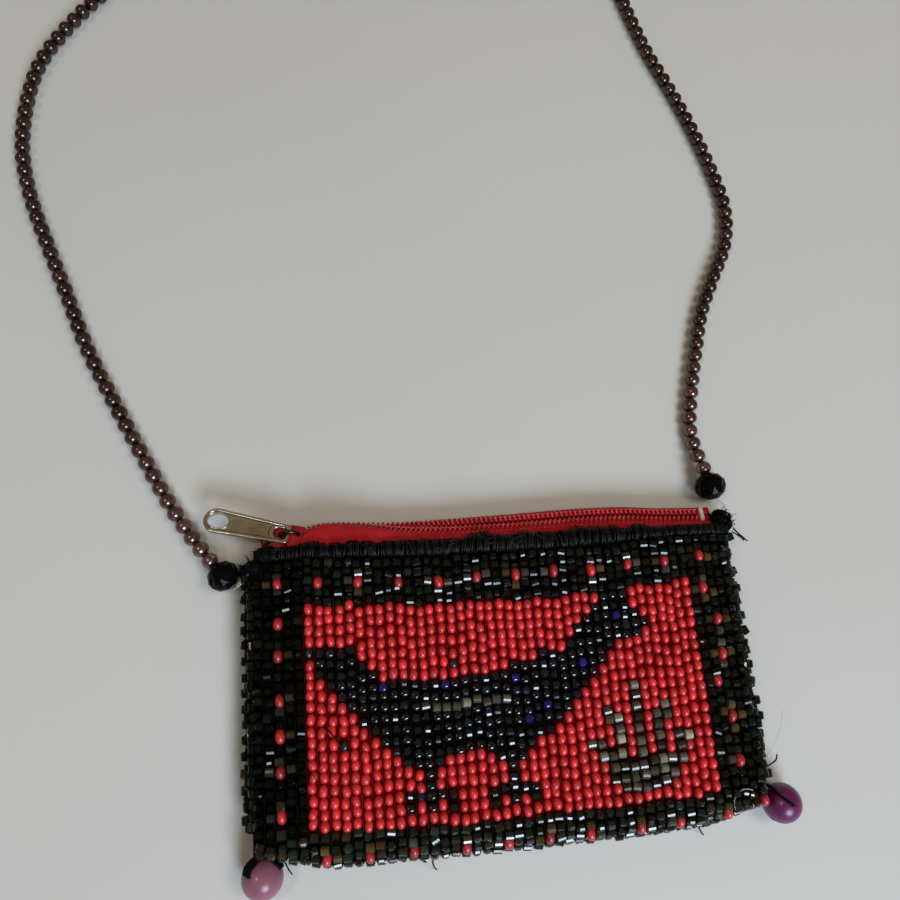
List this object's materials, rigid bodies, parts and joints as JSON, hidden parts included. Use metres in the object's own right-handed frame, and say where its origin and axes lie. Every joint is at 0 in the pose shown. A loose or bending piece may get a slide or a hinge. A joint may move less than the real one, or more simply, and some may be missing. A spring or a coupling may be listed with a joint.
{
  "type": "beaded coin purse",
  "caption": "Flat coin purse of woven glass beads with a bird on a red field, a coil zip along the top edge, a strap of small pearls and a large bead at each lower corner.",
  "frame": {"origin": "on the resting face of the back panel, under the middle of the front panel's red field", "axes": "+X along the zip from the closed end's slider to the far stop, +Y from the bottom fold to the zip, +Z out of the front panel"},
  "size_m": [0.2117, 0.2972, 0.011],
  "materials": {
    "red_glass": "opaque gloss",
    "blue_black_glass": "opaque gloss",
    "grey_glass": "opaque gloss",
    "black_glass": "opaque cut gloss",
    "lining_cloth": "plain weave",
    "black_thread": "matt thread",
    "crimson_tape": "woven tape",
    "crimson_coil": "nylon coil",
    "nickel": "satin nickel plate",
    "crimson_enamel": "gloss enamel",
    "white_stop": "moulded",
    "bronze_pearl": "pearl coat",
    "black_crystal": "faceted polish",
    "clear_nylon": "clear line",
    "mauve_glass": "pearl coat",
    "purple_glass": "tinted gloss"
  },
  "bodies": {
    "purse": {"red_field_beads": "red_glass", "bird_beads": "blue_black_glass", "wing_stripe_beads": "grey_glass", "sprig_beads": "grey_glass", "top_border_beads": "black_glass", "left_border_beads": "black_glass", "right_border_beads": "black_glass", "bottom_fold_beads": "black_glass", "back_panel_beads": "black_glass", "left_edging": "black_glass", "right_edging": "black_glass", "lining_bag": "lining_cloth", "front_binding": "black_thread", "back_binding": "black_thread", "left_corner_knot": "black_thread", "right_corner_knot": "black_thread", "left_bead_thread": "black_thread", "right_bead_thread": "black_thread", "front_zip_tape": "crimson_tape", "back_zip_tape": "crimson_tape", "front_coil": "crimson_coil", "back_coil": "crimson_coil", "front_top_stop": "nickel", "back_top_stop": "nickel", "bottom_stop": "white_stop", "pearl_strand": "bronze_pearl", "left_crystal": "black_crystal", "right_crystal": "black_crystal", "tape_nylon_loop": "clear_nylon", "knot_nylon_loop": "clear_nylon", "left_corner_bead": "mauve_glass", "right_corner_bead": "purple_glass"},
    "slider": {"slider_body": "crimson_enamel"},
    "pull": {"slider_pull": "nickel"}
  },
  "joints": [
    {"name": "slider_slide", "type": "slide", "parent": "purse", "child": "slider", "axis": [1, 0, 0], "range_m": [0, 0.103]},
    {"name": "pull_swing", "type": "hinge", "parent": "slider", "child": "pull", "pos_m": [-0.0521, 0.04484, 0.00884], "axis": [0.2419, 0.9491, -0.2017], "range_deg": [0, 150]}
  ]
}
